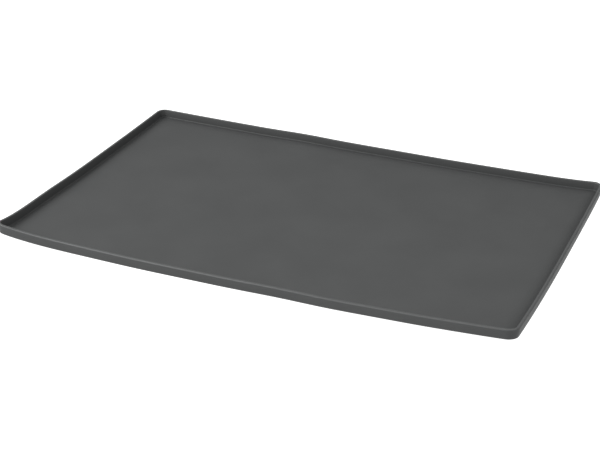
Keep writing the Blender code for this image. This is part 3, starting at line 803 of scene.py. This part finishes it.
def pad_profile():
    """Half the pad's section: a flat sole with three rings pressed into it, and an eased edge."""
    profile = [(0, 0, 0)]
    for ring in (0.28, 0.5, 0.72):
        middle = PAD_RADIUS * ring
        for offset, height in ((-0.55, 0), (-0.3, GROOVE_DEPTH), (0.3, GROOVE_DEPTH), (0.55, 0)):
            profile.append((middle + offset * MM, 0, height))
    profile += [(PAD_RADIUS - 0.3 * MM, 0, 0), (PAD_RADIUS - 0.08 * MM, 0, 0.1 * MM)]
    profile += [(PAD_RADIUS, 0, 0.3 * MM), (PAD_RADIUS, 0, PAD_THICKNESS), (0, 0, PAD_THICKNESS)]
    return profile


pad = link_object("pad", turned_mesh("pad", pad_profile(), (0, 0, 1), 48))
print(f"pad {2 * PAD_RADIUS / MM:.1f} mm across, {len(pad.data.polygons)} faces")


# %% Place the pads
def pads_tree():
    tree, given, output = new_tree("place_pads", {"Pad": "Object", "Material": "Material"})
    pad_shape = add_node(tree, "GeometryNodeObjectInfo", {"Object": given["Pad"]})
    placed = add_node(
        tree,
        "GeometryNodeInstanceOnPoints",
        {"Points": given["Geometry"], "Instance": pad_shape.outputs["Geometry"]},
    )
    close_tree(tree, placed.outputs[0], given["Material"], output)
    return tree


foot_points = bpy.data.meshes.new("foot_points")
foot_points.from_pydata([(centre.x, centre.y, 0) for centre in FOOT_CENTRES], [], [])
feet = grow("grip_feet", pads_tree(), {"Pad": pad, "Material": RUBBER}, foot_points.copy())
feet.data.set_sharp_from_angle(angle=math.radians(50))
settle(feet)
place_piece(feet, "gasket", *[node for node in frame["nodes"] if node[:5] == "foot_"])
bpy.data.objects.remove(pad)

# %% Mould the grip dots
DOT_PITCH = 15 * MM
DOT_RADIUS = 1.6 * MM
DOT_HEIGHT = 0.35 * MM
skin_low, skin_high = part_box("base_cover")


def dots_tree():
    inputs = {"Size X": "Float", "Size Y": "Float", "Count X": "Int", "Count Y": "Int"}
    inputs |= {"Level": "Float", "Clear Of Pads": "Float", "Dot Size": "Vector", "Material": "Material"}
    tree, given, output = new_tree("mould_dots", inputs)
    sizes = {label: given[label] for label in ("Size X", "Size Y")}
    sizes |= {"Vertices X": given["Count X"], "Vertices Y": given["Count Y"]}
    grid = add_node(tree, "GeometryNodeMeshGrid", sizes)
    near = add_node(
        tree, "GeometryNodeProximity", {0: given["Geometry"]}, target_element="POINTS"
    )
    clear = add_node(
        tree,
        "FunctionNodeCompare",
        {0: near.outputs["Distance"], 1: given["Clear Of Pads"]},
        operation="GREATER_THAN",
    )
    ball = add_node(tree, "GeometryNodeMeshUVSphere", {"Segments": 10, "Rings": 4, "Radius": 1.0})
    flattened = {"Geometry": ball.outputs[0], "Scale": given["Dot Size"]}
    dot = add_node(tree, "GeometryNodeTransform", flattened)
    placed = {"Points": grid.outputs[0], "Selection": clear.outputs[0], "Instance": dot.outputs[0]}
    dots = add_node(tree, "GeometryNodeInstanceOnPoints", placed)
    up = add_node(tree, "ShaderNodeCombineXYZ", {"Z": given["Level"]})
    raised = {"Geometry": dots.outputs[0], "Translation": up.outputs[0]}
    moved = add_node(tree, "GeometryNodeTransform", raised)
    close_tree(tree, moved.outputs[0], given["Material"], output)
    return tree


columns = int((skin_high.x - skin_low.x - DOT_PITCH) / DOT_PITCH)
rows = int((skin_high.y - skin_low.y - DOT_PITCH) / DOT_PITCH)
dots = grow(
    "grip_dots",
    dots_tree(),
    {
        "Size X": columns * DOT_PITCH,
        "Size Y": rows * DOT_PITCH,
        "Count X": columns + 1,
        "Count Y": rows + 1,
        "Level": skin_low.z,
        "Clear Of Pads": PAD_RADIUS + 3 * MM,
        "Dot Size": (DOT_RADIUS, DOT_RADIUS, DOT_HEIGHT),
        "Material": SILICONE,
    },
    foot_points,
)
settle(dots)
place_piece(dots, "silicone")

# %% [markdown]
# ## The inlet box
#
# The box behind the rear rim is injection moulded. A real moulding never has knife edges, because the
# tool can't be cut that sharp and the plastic wouldn't fill it, so every edge of the plain solids is
# eased by a quarter of a millimetre. Light catches those eased edges, and they are most of what makes
# a small box look real. The lid also gets a shallow recessed panel, as labels need, left blank.

# %% Ease the box and its lid
EASE = 0.25 * MM
LID_SLOPE = 0.44  # how far the lid falls for each metre towards the rear
PANEL_LENGTH, PANEL_WIDTH, PANEL_DEPTH = 46 * MM, 6.6 * MM, 0.3 * MM
lid_low, lid_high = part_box("inlet_lid")


def eased_copy(node, name, material):
    """A copy of a frame node with its edges eased."""
    obj = object_from(merged_copy(node), name, material)
    bevel = obj.modifiers.new("ease", "BEVEL")
    bevel.width = EASE
    bevel.segments = 2
    bevel.limit_method = "ANGLE"
    bevel.angle_limit = math.radians(40)
    plain_mesh(obj)
    obj.data.shade_smooth()
    obj.data.set_sharp_from_angle(angle=math.radians(40))
    return obj


def block_cutter(name, size, place, turn):
    """A plain block to cut with, turned about X at its place."""
    bm = bmesh.new()
    bmesh.ops.create_cube(bm, size=1.0)
    bmesh.ops.scale(bm, vec=size, verts=bm.verts)
    upright = [edge for edge in bm.edges if abs((edge.verts[0].co - edge.verts[1].co).z) > size[2] / 2]
    radius = min(size[0], size[1]) / 4
    bmesh.ops.bevel(bm, geom=upright, offset=radius, segments=5, profile=0.5, affect="EDGES")
    bmesh.ops.transform(bm, matrix=Matrix.Translation(place) @ turn, verts=bm.verts)
    return object_from(bm, name, None)


box_base = eased_copy("inlet_base", "nylon_box", NYLON)
lid = eased_copy("inlet_lid", "nylon_lid", NYLON)
lid_turn = Matrix.Rotation(-math.atan(LID_SLOPE), 4, "X")
lid_middle_y = (lid_low.y + lid_high.y) / 2 + 0.3 * MM
lid_top = Vector((0, lid_middle_y, lid_high.z - LID_SLOPE * (lid_middle_y - lid_low.y)))
lid_up = lid_turn @ Vector((0, 0, 1))
panel_size = (PANEL_LENGTH, PANEL_WIDTH, 2 * MM)
panel_place = lid_top + lid_up * (1 * MM - PANEL_DEPTH)
cut_away(lid, block_cutter("panel_cutter", panel_size, panel_place, lid_turn))
place_piece(box_base, "housing", "inlet_base")
place_piece(lid, "housing", "inlet_lid")

# %% [markdown]
# ## The gland nut
#
# The nut that clamps the lead is turned by hand, so it has ribs to grip. Its body is half a section
# spun round its axis. The ribs are round bars placed on the points of a circle, sunk so that only
# their crests stand out of the body.

# %% Make the ribbed nut
NUT_RIBS = 18
RIB_RADIUS = 0.35 * MM
RIB_LENGTH = 5.6 * MM
BORE_RADIUS, CAVITY_RADIUS = 2.1 * MM, 2.7 * MM
nut_low, nut_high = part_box("gland_nut")
NUT_RADIUS = (nut_high.z - nut_low.z) / 2 - 0.25 * MM
nut_centre = (nut_low + nut_high) / 2
seal_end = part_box("gland_seal")[0].x - 0.1 * MM


def nut_profile():
    """The nut's section as (x, radius), closed, from its open end round to its open end."""
    start, end = nut_high.x, nut_low.x
    section = [(start, CAVITY_RADIUS), (start, NUT_RADIUS - 0.2 * MM), (start - 0.2 * MM, NUT_RADIUS)]
    section += [(end + 0.9 * MM, NUT_RADIUS), (end + 0.3 * MM, NUT_RADIUS - 0.35 * MM)]
    section += [(end, NUT_RADIUS - 0.8 * MM), (end, BORE_RADIUS + 0.15 * MM)]
    section += [(end + 0.15 * MM, BORE_RADIUS), (seal_end, BORE_RADIUS), (seal_end, CAVITY_RADIUS)]
    section.append(section[0])
    return [(x, 0, radius) for x, radius in section]


def nut_tree():
    inputs = {"Ribs": "Int", "Ring Radius": "Float", "Rib Radius": "Float", "Rib Length": "Float"}
    tree, given, output = new_tree("rib_nut", inputs | {"Middle": "Float", "Material": "Material"})
    ring = add_node(
        tree, "GeometryNodeMeshCircle", {"Vertices": given["Ribs"], "Radius": given["Ring Radius"]}
    )
    bar_sizes = {"Vertices": 10, "Radius": given["Rib Radius"], "Depth": given["Rib Length"]}
    bar = add_node(tree, "GeometryNodeMeshCylinder", bar_sizes)
    placed = {"Points": ring.outputs[0], "Instance": bar.outputs[0]}
    ribs = add_node(tree, "GeometryNodeInstanceOnPoints", placed)
    along = add_node(tree, "ShaderNodeCombineXYZ", {"X": given["Middle"]})
    laid = {"Geometry": ribs.outputs[0], "Translation": along.outputs[0]}
    laid["Rotation"] = (0, math.pi / 2, 0)
    turned_ribs = add_node(tree, "GeometryNodeTransform", laid)
    parts = [given["Geometry"], turned_ribs.outputs[0]]
    whole = add_node(tree, "GeometryNodeJoinGeometry", {"Geometry": parts})
    close_tree(tree, whole.outputs[0], given["Material"], output)
    return tree


nut = grow(
    "ribbed_nut",
    nut_tree(),
    {
        "Ribs": NUT_RIBS,
        "Ring Radius": NUT_RADIUS - 0.1 * MM,
        "Rib Radius": RIB_RADIUS,
        "Rib Length": RIB_LENGTH,
        "Middle": nut_high.x - 0.5 * MM - RIB_LENGTH / 2,
        "Material": NYLON,
    },
    turned_mesh("nut_body", nut_profile(), (1, 0, 0), 72),
)
nut.data.transform(Matrix.Translation((0, nut_centre.y, nut_centre.z)))
nut.data.set_sharp_from_angle(angle=math.radians(35))
place_piece(nut, "housing", "gland_nut")

# %% [markdown]
# ## The leads in the box
#
# Three short leads join crimps, cut-out and terminals. Each is a soft round tube along a few points.
# A Catmull-Rom spline passes through its points and bends smoothly between them, as a lead does.

# %% Run the leads
LEAD_RADIUS = 0.45 * MM
LEAD_ROUTES = {  # node: the route's points in millimetres
    "lead_live": [
        (-6, 209.6, 2.1),
        (-6, 210.3, 2.1),
        (-7.2, 211, 2.6),
        (-10.5, 210.4, 3.2),
        (-14.1, 209, 3.2),
        (-15.9, 209, 3.2),
    ],
    "lead_neutral": [
        (6, 209.6, 2.1),
        (6, 210.3, 2.1),
        (7.4, 210.9, 2.6),
        (10.2, 210.1, 3.2),
        (12.6, 208, 3.2),
        (13.9, 208, 3.2),
    ],
    "lead_cutout": [
        (29.1, 206.8, 3.2),
        (29.9, 206.8, 3.2),
        (30.2, 205.2, 3.2),
        (30.2, 203.7, 3.2),
        (29.4, 202.5, 3.2),
        (27.5, 202.25, 3.2),
        (10, 202.25, 3.2),
        (-9, 202.25, 3.2),
        (-12, 203.6, 3.2),
        (-14.4, 204.4, 3.2),
        (-15.9, 204.4, 3.2),
    ],
}


def lead_tree():
    tree, given, output = new_tree("run_lead", {"Radius": "Float", "Material": "Material"})
    path = add_node(tree, "GeometryNodeMeshToCurve", {"Mesh": given["Geometry"]})
    smooth = add_node(
        tree, "GeometryNodeCurveSplineType", {"Curve": path.outputs[0]}, spline_type="CATMULL_ROM"
    )
    finer = {"Geometry": smooth.outputs[0], "Resolution": 6}
    bent = add_node(tree, "GeometryNodeSetSplineResolution", finer)
    section = add_node(
        tree, "GeometryNodeCurvePrimitiveCircle", {"Resolution": 12, "Radius": given["Radius"]}
    )
    swept = {"Curve": bent.outputs[0], "Profile Curve": section.outputs[0], "Fill Caps": True}
    tube = add_node(tree, "GeometryNodeCurveToMesh", swept)
    close_tree(tree, tube.outputs[0], given["Material"], output)
    return tree


lead_maker = lead_tree()
for node, route in LEAD_ROUTES.items():
    start_line = line_mesh(node + "_route", [tuple(v * MM for v in point) for point in route])
    values = {"Radius": LEAD_RADIUS, "Material": INSULATION}
    place_piece(grow("insulated_" + node, lead_maker, values, start_line), "lead", node)

# %% [markdown]
# ## The small parts that stay as they are
#
# Screws, terminals, crimps, cut-out and seals already have their right shapes in the frame. They only
# need real finishes, which go into their objects' material slots.

# %% Finish the small parts
SMALL_PARTS = {
    "inlet_gasket": RUBBER,
    "gland_seal": RUBBER,
    "lid_screw_left": STEEL,
    "lid_screw_right": STEEL,
    "terminal_screw_live": STEEL,
    "terminal_screw_neutral": STEEL,
    "terminal_block": TERMINAL,
    "thermal_cutout": PHENOLIC,
    "crimp_live": TIN,
    "crimp_neutral": TIN,
}
for node, material in SMALL_PARTS.items():
    frame["nodes"][node].material_slots[0].material = material
print("small parts finished:", len(SMALL_PARTS))

# %% [markdown]
# ## Floor and light
#
# Matte dark rubber shows its shape only through soft light from more than one side. An even
# surrounding fills in, a large key panel stands on the left in front, a weaker fill panel on the
# right, and a weak narrow one hangs high at the back. The table is translucent white acrylic with a light
# under it, as in a packshot studio, which leaves hardly any shadow. It also lights the outer faces of
# the rim from below, while the inner faces see only the dark floor. That difference makes the low
# rim readable. The view's gamma is below 1, which deepens the dark tones a little, as the tone curve
# of a camera does.

# %% Set the table and the lights
WORLD_STRENGTH = 0.42
TABLE_GLOW = 1.05
PANELS = {  # name: (azimuth from the front, elevation, width, height, power)
    "key_panel": (-50, 40, 2.4, 1.4, 96),
    "fill_panel": (80, 40, 2.4, 1.4, 30),
    "top_panel": (180, 65, 2.4, 1.0, 18),
}
PANEL_DISTANCE = 2.5
TABLE_HALF_SIZE = 6.0
TABLE_DROP = 0.1 * MM  # keeps the table clear of the soles of the pads


def lit_acrylic():
    """A translucent white acrylic table top, lit from below, so that it is nearly shadowless."""
    material, tree, shader = new_finish("lit_white_acrylic", "#6A6A6A", 0.9)
    shader.inputs["Emission Color"].default_value = linear("#FFFFFF")
    shader.inputs["Emission Strength"].default_value = TABLE_GLOW
    where = add_node(tree, "ShaderNodeTexCoord").outputs["Object"]
    grain = add_node(tree, "ShaderNodeTexNoise", {"Vector": where, "Scale": 1 / (2 * MM)})
    heights = {"Height": grain.outputs["Fac"], "Distance": 0.02 * MM, "Strength": 1.0}
    relief = add_node(tree, "ShaderNodeBump", heights)
    tree.links.new(relief.outputs["Normal"], shader.inputs["Normal"])
    return material


bm = bmesh.new()
bmesh.ops.create_grid(bm, x_segments=1, y_segments=1, size=TABLE_HALF_SIZE)
bmesh.ops.translate(bm, verts=bm.verts, vec=(0, 0, -TABLE_DROP))
table = object_from(bm, "table", lit_acrylic())

world = bpy.data.worlds.new("soft_surrounding")
world.use_nodes = True
world.node_tree.nodes["Background"].inputs["Color"].default_value = linear("#FFFFFF")
world.node_tree.nodes["Background"].inputs["Strength"].default_value = WORLD_STRENGTH
bpy.context.scene.world = world


def hang_panel(name, azimuth, elevation, width, height, power):
    """A rectangular light panel that faces the mat from the given angles."""
    around, up = math.radians(azimuth), math.radians(elevation)
    outwards = Vector(
        (math.sin(around) * math.cos(up), -math.cos(around) * math.cos(up), math.sin(up))
    )
    panel = bpy.data.objects.new(name, bpy.data.lights.new(name, "AREA"))
    panel.data.shape = "RECTANGLE"
    panel.data.size, panel.data.size_y = width, height
    panel.data.energy = power
    panel.location = outwards * PANEL_DISTANCE
    panel.rotation_euler = outwards.to_track_quat("Z", "Y").to_euler()
    bpy.context.scene.collection.objects.link(panel)


for name, settings in PANELS.items():
    hang_panel(name, *settings)
view = bpy.context.scene.view_settings
view.view_transform = "Standard"
view.gamma = 0.8
print("light panels:", len(PANELS))
